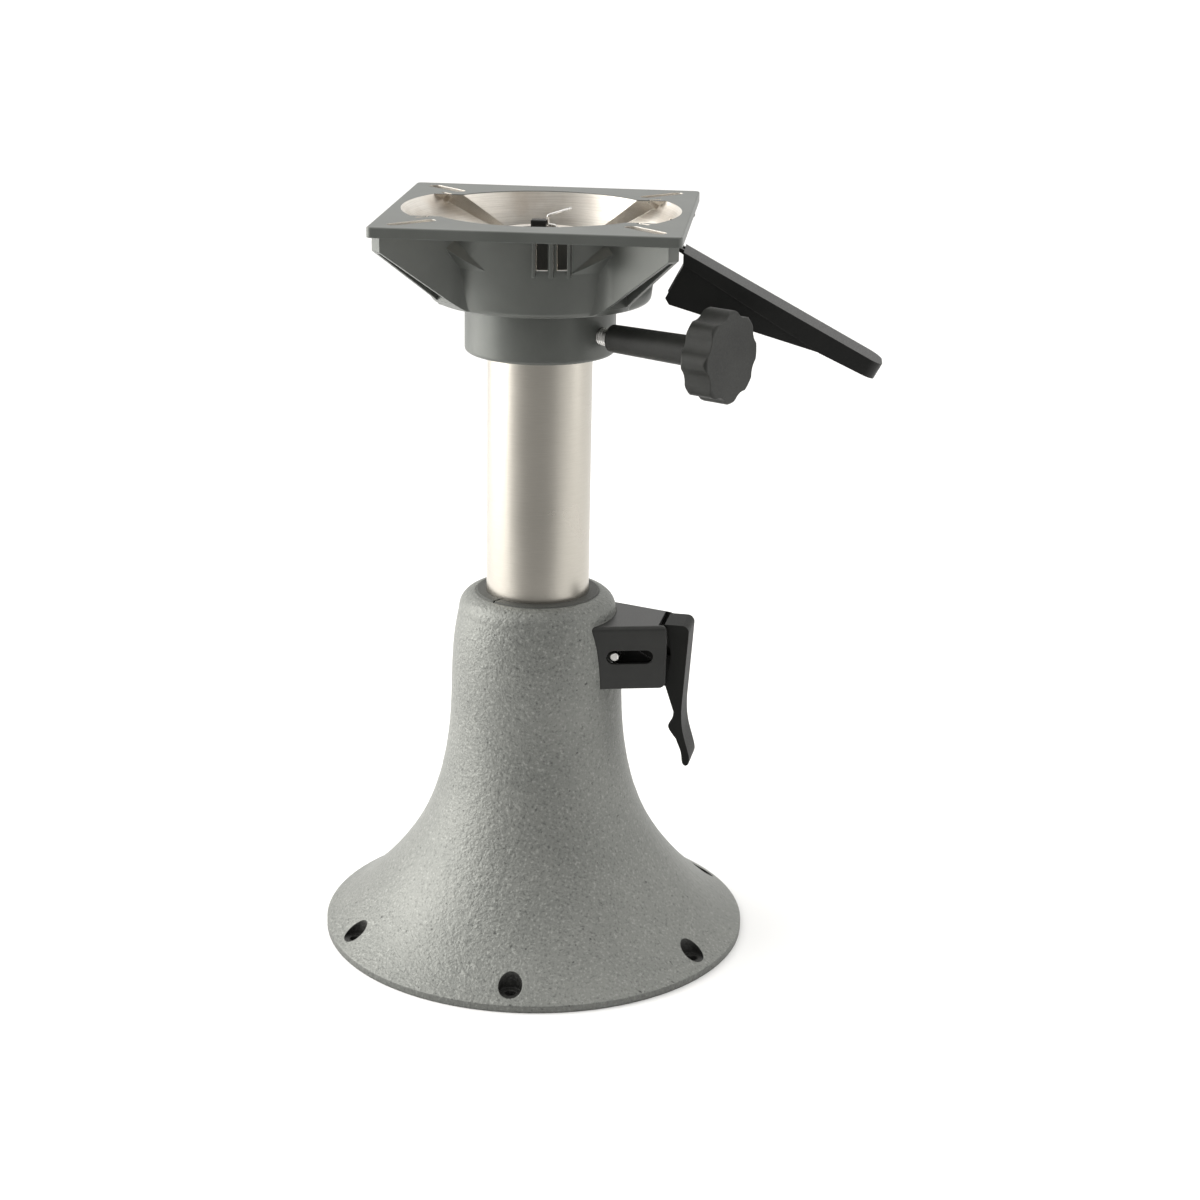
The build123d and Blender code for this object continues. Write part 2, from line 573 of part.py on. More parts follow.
def lever_profile():
    """Side outline of the release lever in the XZ plane, as a face."""
    notch = math.hypot(BRACKET_REACH - PIN_REACH, PIN_BELOW_TOP) + LEVER_NOTCH_GAP
    arm_angle, web_angle = math.radians(-18.0), math.radians(29.0)
    middle_angle = (arm_angle + web_angle) / 2

    def on_notch(angle):
        return (PIN_REACH + notch * math.cos(angle), 0, PIN_Z + notch * math.sin(angle))

    # The points below are drawn for a lever 87.1 mm long
    size = LEVER_LENGTH / 87.1

    def at(out, down):
        return (BRACKET_REACH + size * out, 0, BRACKET_TOP - size * down)

    top_start = (on_notch(web_angle)[0], 0, BRACKET_TOP)
    heel, neck, tip, hook = at(13.7, 0), at(14.7, 50.0), at(17.9, 87.1), at(11.9, 70.5)
    eye_top = (PIN_REACH + LEVER_EYE_RADIUS * 0.6, 0, PIN_Z + LEVER_EYE_RADIUS * 0.8)
    eye_low = (PIN_REACH - LEVER_EYE_RADIUS * 0.6, 0, PIN_Z - LEVER_EYE_RADIUS * 0.8)
    edges = [
        Line(on_notch(web_angle), top_start),
        Line(top_start, heel),
        ThreePointArc(heel, at(16.5, 1.3), at(17.7, 4.2)),
        Line(at(17.7, 4.2), neck),
        Spline(neck, at(15.4, 64.0), at(19.1, 78.0), tip, tangents=[(-0.05, 0, -1), (-1, 0, -0.25)]),
        Spline(tip, at(15.3, 80.5), hook, tangents=[(-1, 0, 0.25), (-0.3, 0, 1)]),
        Spline(hook, at(7.0, 62.4), at(9.9, 53.6), tangents=[(-0.8, 0, 1), (0, 0, 1)]),
        Line(at(9.9, 53.6), at(4.7, 38.0)),
        Line(at(4.7, 38.0), at(-8.9, 32.0)),
        Line(at(-8.9, 32.0), eye_low),
        ThreePointArc(eye_low, (PIN_REACH - LEVER_EYE_RADIUS * 0.8, 0,
                                PIN_Z + LEVER_EYE_RADIUS * 0.6), eye_top),
        Line(eye_top, on_notch(arm_angle)),
        ThreePointArc(on_notch(arm_angle), on_notch(middle_angle), on_notch(web_angle)),
    ]
    return make_face(edges)


def make_release_lever():
    """Bent sheet channel: two hooked flanges and a web along the outer edge."""
    profile = Pos(0, -LEVER_HALF, 0) * lever_profile()
    width = 2 * LEVER_HALF
    full = extrude(profile, amount=width, dir=(0, 1, 0))
    inner_half = LEVER_HALF - LEVER_SHEET
    hollow_start = PIN_REACH - 20
    hollow = Pos(-LEVER_SHEET, 0, -LEVER_SHEET * 0.9) * full
    shifted = Pos(-2 * LEVER_SHEET, 0, -LEVER_SHEET * 0.9) * full
    inner = (hollow + shifted) & block(
        (hollow_start, BRACKET_REACH + LEVER_LENGTH / 2), (-inner_half, inner_half),
        (BRACKET_TOP - 1.25 * LEVER_LENGTH, BRACKET_TOP + LEVER_LENGTH / 4))
    throat = block((hollow_start, BRACKET_REACH + LEVER_THROAT_REACH), (-inner_half, inner_half),
                   (BRACKET_TOP - LEVER_THROAT_LENGTH, BRACKET_TOP - LEVER_SHEET))
    lever = full - inner - throat
    lever -= block((hollow_start, BRACKET_REACH + LEVER_HOOK_REACH), (-inner_half, inner_half),
                   (BRACKET_TOP - LEVER_HOOK_END, BRACKET_TOP - LEVER_HOOK_START))
    lever -= side_cylinder(PIN_REACH, PIN_Z, PIN_RADIUS + HINGE_FIT, -20, 20)
    return at_latch(lever)


def make_post_tube():
    """Round tube that carries the seat mount and slides in the bell's neck."""
    return tube_between(POST_RADIUS, POST_INNER, POST_BOTTOM, POST_TOP)


def make_post_stop():
    """Plastic end ring that keeps the post from being pulled out."""
    low = POST_BOTTOM - STOP_RING_HEIGHT
    ring = cylinder_between(POST_RADIUS + STOP_RING_OVERHANG, low, POST_BOTTOM)
    ring = chamfer(ring.edges().group_by(Axis.Z)[0], 1.0)
    ring += cylinder_between(POST_INNER, POST_BOTTOM - NUDGE, POST_BOTTOM + STOP_SPIGOT_HEIGHT)
    return ring - cylinder_between(POST_INNER - STOP_RING_WALL, low - 1, POST_TOP)


def make_post_plug():
    """Plug in the top of the post with a ring of holes for the swivel lock."""
    plug = cylinder_between(POST_INNER, POST_TOP - PLUG_LENGTH, POST_TOP)
    plug += cylinder_between(POST_RADIUS, POST_TOP, PLUG_TOP)
    plug -= cylinder_between(POST_INNER - PLUG_WALL, POST_TOP - PLUG_LENGTH - 1, PLUG_TOP - PLUG_PLATE)
    plug -= cylinder_between(PLUG_BORE, 0, PLUG_TOP + 1)
    start = math.degrees(math.atan2(LOCK_Y, LOCK_X))
    for index in range(LOCK_STEPS):
        turn = Rot(0, 0, start + index * 360 / LOCK_STEPS)
        plug -= turn * Pos(LOCK_CIRCLE, 0, 0) * cylinder_between(LOCK_HOLE_RADIUS, 0, PLUG_TOP + 1)
    return plug


def make_thrust_washer():
    """Plastic washer between the plug and the floor of the seat mount."""
    return tube_between(POST_RADIUS - 0.4, WASHER_INNER, PLUG_TOP, PLUG_TOP + WASHER_HEIGHT)


def make_swivel_bushing():
    """Plastic sleeve between the post and the collar of the seat mount."""
    return tube_between(COLLAR_BORE, BUSHING_INNER, COLLAR_BOTTOM + 0.8, POST_TOP - 0.6)


def cone_between(low_radius, high_radius, low, high):
    """Upright cone on the axis of the post."""
    return Pos(0, 0, (low + high) / 2) * Cone(low_radius, high_radius, high - low)


def pocket_form(growth, low, high):
    """Side pockets of the bowl: a cone limited by a barrel along X, grown by a wall."""
    low_radius = POCKET_MOUTH_RADIUS - POCKET_SLOPE * (PLATE_TOP - low) + growth
    high_radius = POCKET_MOUTH_RADIUS - POCKET_SLOPE * (PLATE_TOP - high) + growth
    barrel = Pos(0, 0, FLOOR_TOP) * Rot(0, 90, 0) * Cylinder(POCKET_BARREL + growth, 2 * PLATE_SIZE)
    return cone_between(low_radius, high_radius, low, high) & barrel


def bowl_cavity():
    """Round hollow of the bowl with a rolled corner at its floor."""
    top = PLATE_TOP + 1
    corner = BOWL_CORNER
    profile = make_face([
        Line((0, 0, FLOOR_TOP), (BOWL_FLOOR_RADIUS - corner, 0, FLOOR_TOP)),
        ThreePointArc((BOWL_FLOOR_RADIUS - corner, 0, FLOOR_TOP),
                      (BOWL_FLOOR_RADIUS - 0.25 * corner, 0, FLOOR_TOP + 0.28 * corner),
                      (BOWL_FLOOR_RADIUS + 0.1 * corner, 0, FLOOR_TOP + corner)),
        Line((BOWL_FLOOR_RADIUS + 0.1 * corner, 0, FLOOR_TOP + corner), (BOWL_MOUTH_RADIUS, 0, top)),
        Line((BOWL_MOUTH_RADIUS, 0, top), (0, 0, top)),
        Line((0, 0, top), (0, 0, FLOOR_TOP)),
    ])
    return revolve(profile, Axis.Z)


def wing_plan(inset, low, high):
    """Prism with the plan of a wing: sides that converge to the tip and flare into the drum."""
    reach = WING_REACH - inset
    joint = DRUM_TOP_RADIUS + WING_JOINT
    start = DRUM_BOTTOM_RADIUS - WING_JOINT
    tip, waist = WING_TIP_HALF - inset, WING_ROOT_HALF - inset
    root = waist + WING_FLARE
    edges = [Line((reach, -tip, low), (reach, tip, low)), Line((start, -root, low), (start, root, low))]
    for sign in (-1, 1):
        edges.append(Line((reach, sign * tip, low), (joint, sign * waist, low)))
        edges.append(Spline((joint, sign * waist, low), (start, sign * root, low),
                            tangents=[(joint - reach, sign * (waist - tip)), (-0.5, sign)]))
    return extrude(make_face(edges), amount=high - low, dir=(0, 0, 1))


def make_wing(index):
    """Hollow corner wing: two converging walls with a slanted lower edge."""
    low = DRUM_BOTTOM + 1.2
    knee = PLATE_BOTTOM - WING_BLUNT
    inner = DRUM_BOTTOM_RADIUS - CAST_WALL
    top = PLATE_BOTTOM + 1
    half = WING_ROOT_HALF + WING_FLARE
    side = side_prism([(inner, low), (DRUM_BOTTOM_RADIUS - 0.5, low), (WING_REACH, knee),
                       (WING_REACH, top), (inner, top)], -half, half)
    hollow = wing_plan(WING_WALL, low - 1, top) & block(
        (DRUM_TOP_RADIUS - 1, WING_REACH), (-half, half), (low - 1, PLATE_BOTTOM))
    return Rot(0, 0, 45 + 90 * index) * ((side & wing_plan(0, low, top)) - hollow)


def window_pair(azimuth):
    """Cut for the two upright windows in the wall of the drum, and their ribs."""
    cut = Part()
    ribs = Part()
    reach = PLATE_HALF - 2
    inside = BOWL_FLOOR_RADIUS - 6
    for side in (-1, 1):
        middle = WINDOW_MIDDLE + side * WINDOW_PITCH / 2
        half = WINDOW_WIDTH / 2
        cut += block((inside, reach + 6), (middle - half, middle + half), (WINDOW_BOTTOM, WINDOW_TOP))
    rib_low = WINDOW_BOTTOM - WINDOW_RIB_BELOW
    drum_here = DRUM_BOTTOM_RADIUS + CAST_WALL
    for place in (-1.0, 0.0, 1.0):
        middle = WINDOW_MIDDLE + place * (WINDOW_PITCH / 2 + WINDOW_WIDTH / 2 + WINDOW_RIB / 2)
        half = WINDOW_RIB / 2
        if place == 0.0:
            half = (WINDOW_PITCH - WINDOW_WIDTH) / 4
        ribs += block((BOWL_FLOOR_RADIUS + CAST_WALL, drum_here + WINDOW_RIB_PROUD + 2.0),
                      (middle - half, middle + half), (rib_low, PLATE_BOTTOM + 1))
    return Rot(0, 0, azimuth) * cut, Rot(0, 0, azimuth) * ribs


def make_seat_mount():
    """Cast seat mount: plate, bowl, collar, corner wings, hub and lugs."""
    plate = Pos(0, 0, (PLATE_TOP + PLATE_BOTTOM) / 2) * Box(PLATE_SIZE, PLATE_SIZE, PLATE_THICKNESS)
    plate = fillet(plate.edges().filter_by(Axis.Z), PLATE_CORNER)
    plate = fillet(plate.edges().group_by(Axis.Z)[-1], PLATE_EDGE)
    drum = cone_between(DRUM_BOTTOM_RADIUS, DRUM_TOP_RADIUS, DRUM_BOTTOM, PLATE_BOTTOM + 1)
    drum = fillet(drum.edges().group_by(Axis.Z)[0], DRUM_EDGE)
    collar = cylinder_between(COLLAR_RADIUS, COLLAR_BOTTOM, FLOOR_TOP - 1)
    collar = fillet(collar.edges().group_by(Axis.Z)[0], 2.0)
    mount = drum + collar + pocket_form(CAST_WALL, DRUM_BOTTOM + 6, PLATE_BOTTOM + 1)
    for index in range(4):
        mount += make_wing(index)
    front_cut, front_ribs = window_pair(-90)
    side_cut = window_pair(0)[0]
    mount += front_ribs
    mount += plate
    mount -= bowl_cavity() + pocket_form(0, FLOOR_TOP + 2, PLATE_TOP + 1)
    hub = cone_between(HUB_RADIUS + 1, HUB_RADIUS - 0.5, FLOOR_TOP - 1, HUB_TOP)
    hub = fillet(hub.edges().group_by(Axis.Z)[-1], 2.5)
    hub -= cylinder_between(HUB_HOLE_RADIUS, FLOOR_TOP, HUB_TOP + 1)
    mount += hub
    mount += Pos(LOCK_X, LOCK_Y, 0) * cylinder_between(LOCK_BOSS_RADIUS, FLOOR_TOP - 1,
                                                       FLOOR_TOP + LOCK_BOSS_HEIGHT)
    lug_half = (WINDOW_PITCH - PRONG_THICKNESS) / 2 - LUG_ROOM
    lug_low, lug_high = WINDOW_MIDDLE - lug_half, WINDOW_MIDDLE + lug_half
    mount += block((PIVOT_X - PIVOT_EYE_RADIUS, PIVOT_X + PIVOT_EYE_RADIUS), (lug_low, lug_high),
                   (FLOOR_TOP - 1, PIVOT_Z))
    mount += side_cylinder(PIVOT_X, PIVOT_Z, PIVOT_EYE_RADIUS, lug_low, lug_high)
    mount -= side_cylinder(PIVOT_X, PIVOT_Z, PIVOT_PIN_RADIUS, lug_low - 1, lug_high + 1)
    mount -= front_cut + side_cut
    prong_drop = LOCK_TRAVEL * HUB_RADIUS / LOCK_ARM
    mount -= block((HUB_HOLE_RADIUS / 3, HUB_RADIUS + 3),
                   (PRONG_NEAR_Y - PRONG_ROOM, PRONG_NEAR_Y + PRONG_THICKNESS + PRONG_ROOM),
                   (PIVOT_Z - PRONG_HEIGHT / 2 - prong_drop - 1, PIVOT_Z + PRONG_HEIGHT / 2 + 1))
    mount -= cylinder_between(COLLAR_BORE, COLLAR_BOTTOM - 1, FLOOR_BOTTOM)
    mount -= Pos(LOCK_X, LOCK_Y, 0) * cylinder_between(LOCK_PIN_RADIUS + HINGE_FIT, FLOOR_BOTTOM - 1,
                                                       HUB_TOP)
    slot_middle = SEAT_SLOT_START + SEAT_SLOT_LENGTH / 2
    slot = extrude(SlotOverall(SEAT_SLOT_LENGTH, SEAT_SLOT_WIDTH), amount=PLATE_THICKNESS + 2)
    notch = Box(NOTCH_LENGTH, NOTCH_WIDTH, PLATE_THICKNESS * 2)
    for index in range(4):
        mount -= Rot(0, 0, 45 + 90 * index) * Pos(slot_middle, 0, PLATE_BOTTOM - 1) * slot
    for turn in (NOTCH_ANGLE, -NOTCH_ANGLE, 180 + NOTCH_ANGLE, 180 - NOTCH_ANGLE):
        mount -= Rot(0, 0, turn) * Pos(NOTCH_RADIUS, 0, PLATE_TOP) * notch
    stud_hole = radial_cylinder(STUD_RADIUS + STUD_FIT, COLLAR_BORE - 2, COLLAR_RADIUS + 3, KNOB_Z)
    return mount - Rot(0, 0, KNOB_AZIMUTH) * stud_hole


def prong_outline(inner_x):
    """Outline of one prong from its inner end to the handle's root."""
    half = PRONG_HEIGHT / 2
    crest_x, crest_z = BOWL_MOUTH_RADIUS - 5, WINDOW_BOTTOM + 0.9
    return [(inner_x, PIVOT_Z - half), (PIVOT_X + 4, PIVOT_Z - half), (crest_x, crest_z),
            (HANDLE_ROOT_X - 3, crest_z), (HANDLE_ROOT_X + 3, crest_z - 4),
            (HANDLE_ROOT_X + 3, HANDLE_TOP_Z - 2.5), (HANDLE_ROOT_X, HANDLE_TOP_Z),
            (crest_x + 6, crest_z + PRONG_HEIGHT), (crest_x, crest_z + PRONG_HEIGHT),
            (PIVOT_X + 4, PIVOT_Z + half), (inner_x, PIVOT_Z + half)]


def handle_plate_outline():
    """Side outline of the handle's full-width blade."""
    slope = (HANDLE_TOP_Z - HANDLE_TIP_TOP_Z) / (HANDLE_TIP_X - HANDLE_ROOT_X)
    lean = HANDLE_TIP_DEPTH * slope
    return [(HANDLE_ROOT_X, HANDLE_TOP_Z), (HANDLE_TIP_X, HANDLE_TIP_TOP_Z),
            (HANDLE_TIP_X - lean, HANDLE_TIP_TOP_Z - HANDLE_TIP_DEPTH),
            (HANDLE_WEB_END_X, HANDLE_WEB_END_Z),
            (HANDLE_ROOT_X, HANDLE_TOP_Z - HANDLE_PLATE_EDGE)]


def handle_outline():
    """Side outline of the webs under the blade."""
    return [(HANDLE_ROOT_X, HANDLE_TOP_Z - 1), (HANDLE_WEB_END_X, HANDLE_WEB_END_Z + 3),
            (HANDLE_WEB_END_X, HANDLE_WEB_END_Z),
            (HANDLE_WEB_CORNER_X, HANDLE_WEB_CORNER_Z),
            (HANDLE_WEB_CORNER_X - 2.2, HANDLE_WEB_CORNER_Z + 3.6),
            (HANDLE_ROOT_X, HANDLE_TOP_Z - 8)]


def make_swivel_handle():
    """Handle: channel with deep sides, and two prongs that pass through the windows."""
    low, high = WINDOW_MIDDLE - HANDLE_WIDTH / 2, WINDOW_MIDDLE + HANDLE_WIDTH / 2
    handle = side_prism(handle_plate_outline(), low, high)
    slope = (HANDLE_TOP_Z - HANDLE_TIP_TOP_Z) / (HANDLE_TIP_X - HANDLE_ROOT_X)
    tip_edges = [e for e in handle.edges().filter_by(lambda e: e.center().X > HANDLE_TIP_X - 8)
                 if abs(e.center().Y - WINDOW_MIDDLE) > HANDLE_WIDTH / 2 - 0.1
                 and abs(e.length - math.hypot(HANDLE_TIP_DEPTH, HANDLE_TIP_DEPTH * slope)) < 0.1]
    handle = fillet(tip_edges, HANDLE_TIP_CORNER)
    handle += side_prism(handle_outline(), low + HANDLE_WEB_INSET, high - HANDLE_WEB_INSET)
    drop = HANDLE_WALL * math.hypot(1, slope)
    hollow_end = HANDLE_TIP_X - HANDLE_NOSE
    below = HANDLE_TIP_TOP_Z - 4 * HANDLE_TIP_DEPTH
    behind = HANDLE_WEB_CORNER_X - HANDLE_NOSE
    mouth = HANDLE_TOP_Z - HANDLE_MOUTH_DEPTH

    def top_at(x):
        return HANDLE_TOP_Z - slope * (x - HANDLE_ROOT_X) - drop

    hollow = side_prism([(HANDLE_ROOT_X + HANDLE_WALL, top_at(HANDLE_ROOT_X + HANDLE_WALL)),
                         (hollow_end, top_at(hollow_end)), (hollow_end, below),
                         (behind, below), (behind, mouth), (HANDLE_ROOT_X + HANDLE_WALL, mouth)],
                        low + HANDLE_WEB_INSET + HANDLE_WALL, high - HANDLE_WEB_INSET - HANDLE_WALL)
    handle -= hollow
    for y_low, inner_x in ((PRONG_NEAR_Y, LOCK_X), (PRONG_FAR_Y, PIVOT_X)):
        y_high = y_low + PRONG_THICKNESS
        handle += side_prism(prong_outline(inner_x), y_low, y_high)
        handle += side_cylinder(PIVOT_X, PIVOT_Z, PIVOT_EYE_RADIUS, y_low, y_high)
        handle += side_cylinder(inner_x, PIVOT_Z, PIVOT_EYE_RADIUS, y_low, y_high)
        handle -= side_cylinder(PIVOT_X, PIVOT_Z, PIVOT_PIN_RADIUS + HINGE_FIT, y_low - 1, y_high + 1)
    eye_half = LOCK_CROSS_RADIUS + LOCK_CROSS_FIT
    y_end = PRONG_NEAR_Y + PRONG_THICKNESS
    for shift in (-1.0, 1.0):
        handle -= side_cylinder(LOCK_X + shift, PIVOT_Z, eye_half, PRONG_NEAR_Y - 1, y_end + 1)
    handle -= block((LOCK_X - 1, LOCK_X + 1), (PRONG_NEAR_Y - 1, y_end + 1),
                    (PIVOT_Z - eye_half, PIVOT_Z + eye_half))
    return handle


def make_handle_pivot():
    """Axle of the handle in the lug on the bowl's floor."""
    low, high = PRONG_NEAR_Y - PIVOT_END, PRONG_FAR_Y + PRONG_THICKNESS + PIVOT_END
    pivot = side_cylinder(PIVOT_X, PIVOT_Z, PIVOT_PIN_RADIUS, low, high)
    return chamfer(pivot.edges().filter_by(GeomType.CIRCLE), 0.4)


def make_pivot_clips():
    """Two clips on the ends of the handle's axle."""
    clips = []
    reach = PIVOT_PIN_RADIUS + PIVOT_CLIP_WIDTH
    half = PIVOT_CLIP_OPENING / 2
    for low in (PRONG_NEAR_Y - PIVOT_CLIP_GAP - PIVOT_CLIP_THICKNESS,
                PRONG_FAR_Y + PRONG_THICKNESS + PIVOT_CLIP_GAP):
        clip = side_cylinder(PIVOT_X, PIVOT_Z, reach, low, low + PIVOT_CLIP_THICKNESS)
        clip -= side_cylinder(PIVOT_X, PIVOT_Z, PIVOT_PIN_RADIUS, low - 1, low + 2)
        clip -= block((PIVOT_X - half, PIVOT_X + half), (low - 1, low + 2),
                      (PIVOT_Z - reach - 1, PIVOT_Z))
        clips.append(clip)
    return Compound(children=clips)


def make_lock_pin():
    """Upright pin that drops into the plug's ring of holes."""
    high = CAP_TOP - CAP_ROOF
    pin = cylinder_between(LOCK_PIN_RADIUS, LOCK_TIP_Z, high)
    pin = chamfer(pin.edges().group_by(Axis.Z)[0], 0.8)
    pin = Pos(LOCK_X, LOCK_Y, 0) * pin
    return pin - side_cylinder(LOCK_X, PIVOT_Z, LOCK_CROSS_RADIUS, 0, 2 * LOCK_Y)


def make_lock_cross_pin():
    """Short cross pin between the lock pin and the near prong."""
    return side_cylinder(LOCK_X, PIVOT_Z, LOCK_CROSS_RADIUS, PRONG_NEAR_Y - 0.8,
                         LOCK_Y + LOCK_PIN_RADIUS + 0.6)


def make_lock_cap():
    """Plastic cap on the top of the lock pin."""
    cap = block((LOCK_X - CAP_SIZE / 2, LOCK_X + CAP_SIZE / 2),
                (LOCK_Y - CAP_DEPTH / 2, LOCK_Y + CAP_DEPTH / 2), (CAP_TOP - CAP_HEIGHT, CAP_TOP))
    cap = fillet(cap.edges().group_by(Axis.Z)[-1], 0.7)
    return cap - Pos(LOCK_X, LOCK_Y, 0) * cylinder_between(LOCK_PIN_RADIUS, 0, CAP_TOP - CAP_ROOF)


def make_lock_clip():
    """Bent wire clip beside the cap: two short bars and a long tail."""
    x_start = LOCK_X + CAP_SIZE / 2
    level = CAP_TOP - 3.2
    corner = 1.6
    path = FilletPolyline(
        (x_start, LOCK_Y, level - 3.2), (x_start + 5.4, LOCK_Y, level - 3.2),
        (x_start + 5.4, LOCK_Y, level), (x_start + 0.8, LOCK_Y, level + 0.6),
        (x_start + 0.8, LOCK_Y, level + 4.8), (x_start + 14.0, LOCK_Y + 3.0, level + 8.8),
        radius=corner / 2)
    return sweep(Plane(path @ 0, z_dir=path % 0) * Circle(CLIP_WIRE), path=path)


def knob_head():
    """Lobed head of the knob, rounded towards its rim on both faces."""
    edges = []
    middle = KNOB_HEAD_RADIUS - KNOB_LOBE_DEPTH / 2
    quarter = math.pi / (2 * KNOB_LOBES)

    def at(angle, radius):
        return (radius * math.cos(angle), radius * math.sin(angle), KNOB_HEAD_START - NUDGE)

    for index in range(KNOB_LOBES):
        crest = index * 4 * quarter
        valley = crest + 2 * quarter
        edges.append(ThreePointArc(at(crest - quarter, middle), at(crest, KNOB_HEAD_RADIUS),
                                   at(crest + quarter, middle)))
        edges.append(ThreePointArc(at(crest + quarter, middle),
                                   at(valley, KNOB_HEAD_RADIUS - KNOB_LOBE_DEPTH),
                                   at(valley + quarter, middle)))
    lobed = extrude(make_face(edges), amount=KNOB_HEAD_DEPTH)
    turned = cylinder_between(KNOB_HEAD_RADIUS, KNOB_HEAD_START - NUDGE,
                              KNOB_HEAD_START + KNOB_HEAD_DEPTH - NUDGE)
    turned = fillet(turned.edges().group_by(Axis.Z)[-1], KNOB_FACE_ROUND)
    turned = fillet(turned.edges().group_by(Axis.Z)[0], KNOB_BACK_ROUND)
    return lobed & turned


def make_friction_knob():
    """Moulded knob: tapered stem and lobed head, with a blind hole for the stud."""
    length = KNOB_HEAD_START - KNOB_STEM_START
    stem = Pos(0, 0, KNOB_STEM_START + length / 2) * Cone(KNOB_STEM_RADIUS, KNOB_STEM_END_RADIUS, length)
    stem = fillet(stem.edges().group_by(Axis.Z)[0], 1.2)
    knob = stem + knob_head()
    knob -= cylinder_between(STUD_RADIUS, KNOB_STEM_START - 1, KNOB_STEM_START + STUD_GRIP)
    return Rot(0, 0, KNOB_AZIMUTH) * Pos(0, 0, KNOB_Z) * Rot(0, 90, 0) * knob


def make_knob_stud():
    """Threaded stud moulded into the knob, screwed through the collar."""
    start = COLLAR_BORE + STUD_GAP
    stud = cylinder_between(STUD_RADIUS, start, KNOB_STEM_START + STUD_GRIP)
    stud = chamfer(stud.edges().group_by(Axis.Z)[0], 0.8)
    return Rot(0, 0, KNOB_AZIMUTH) * Pos(0, 0, KNOB_Z) * Rot(0, 90, 0) * stud


PIECES = {
    "bell_base": make_bell_base,
    "neck_bushing": make_neck_bushing,
    "latch_bracket": make_latch_bracket,
    "bracket_screws": make_bracket_screws,
    "clamp_shoe": make_clamp_shoe,
    "lever_pin": make_lever_pin,
    "pin_rings": make_pin_rings,
    "release_lever": make_release_lever,
    "post_tube": make_post_tube,
    "post_stop": make_post_stop,
    "post_plug": make_post_plug,
    "thrust_washer": make_thrust_washer,
    "swivel_bushing": make_swivel_bushing,
    "seat_mount": make_seat_mount,
    "swivel_handle": make_swivel_handle,
    "handle_pivot": make_handle_pivot,
    "pivot_clips": make_pivot_clips,
    "lock_pin": make_lock_pin,
    "lock_cross_pin": make_lock_cross_pin,
    "lock_cap": make_lock_cap,
    "lock_clip": make_lock_clip,
    "friction_knob": make_friction_knob,
    "knob_stud": make_knob_stud,
}

for name, make in PIECES.items():
    export_step(make(), f"parts/{name}.step")
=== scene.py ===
import math

import bmesh
import bpy
from mathutils import Matrix, Vector


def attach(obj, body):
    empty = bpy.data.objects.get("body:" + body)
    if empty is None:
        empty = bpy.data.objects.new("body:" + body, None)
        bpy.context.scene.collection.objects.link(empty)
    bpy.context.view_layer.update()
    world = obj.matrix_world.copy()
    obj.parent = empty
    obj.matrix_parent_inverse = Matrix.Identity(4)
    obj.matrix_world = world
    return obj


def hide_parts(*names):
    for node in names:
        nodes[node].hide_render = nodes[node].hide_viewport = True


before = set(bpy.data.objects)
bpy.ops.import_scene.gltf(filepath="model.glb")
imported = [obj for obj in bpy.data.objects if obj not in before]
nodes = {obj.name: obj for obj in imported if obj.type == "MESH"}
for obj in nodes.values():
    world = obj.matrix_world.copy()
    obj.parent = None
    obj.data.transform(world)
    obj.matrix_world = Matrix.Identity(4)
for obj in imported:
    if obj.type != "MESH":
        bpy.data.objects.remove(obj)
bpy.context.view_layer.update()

# Camera, matched to the photograph (metres and degrees)
CAMERA_PLACE = Vector((0.15499, -1.34742, 0.64719))
CAMERA_HEADING = 5.0
CAMERA_PITCH = 18.02
CAMERA_ROLL = 1.08
CAMERA_LENS = 72.32

# Studio: brightness and direction of the dim room and the bright ceiling, table and lights
ROOM_LEVEL = 0.40
CEILING_LEVEL = 1.65
BACKDROP_LEVEL = 1.05
ROOM_SIDE = (0.03, -1.0, 0.0)
ROOM_SPAN = (0.45, 0.90)
CEILING_SIDE = (0.0, 0.25, 0.97)
CEILING_SPAN = (0.60, 0.95)
TABLE_FRONT = -0.43
TABLE_BACK = 30.0
TABLE_HALF = 20.0
TABLE_GAP = 0.0002
LIGHT_TARGET = Vector((0.0, 0.0, 0.22))
KEY_PLACE, KEY_SIZE, KEY_POWER = (-1.45, 0.0, 0.68), (1.6, 1.8), 38.0
FILL_PLACE, FILL_SIZE, FILL_POWER = (1.6, 0.15, 0.5), (0.5, 1.4), 2.5
LIGHT_TONE = (1.0, 0.985, 0.955)
WORLD_TONE = (1.0, 0.992, 0.972, 1.0)

# Sizes repeated from the part's source, in metres
RIM_HEIGHT = 0.004
DECK_HOLE_COUNT = 6
DECK_HOLE_CIRCLE = 0.116
DECK_POCKET_RADIUS = 0.0068
FLOOR_TOP = 0.391
PLATE_TOP = 0.437
PLATE_BOTTOM = 0.4313
PLATE_HALF = 0.0845
SLOT_START = 0.074
BOWL_FLOOR_RADIUS = 0.0584
BOWL_MOUTH_RADIUS = 0.0654
POCKET_MOUTH_RADIUS = 0.079
POCKET_FLOOR_RADIUS = 0.0491
POCKET_BARREL = 0.0614
HUB_RADIUS = 0.028
HUB_TOP = 0.424
KNOB_AZIMUTH = -30.4
KNOB_Z = 0.3696
STUD_RADIUS = 0.005
STUD_START = 0.0337
STUD_END = 0.080

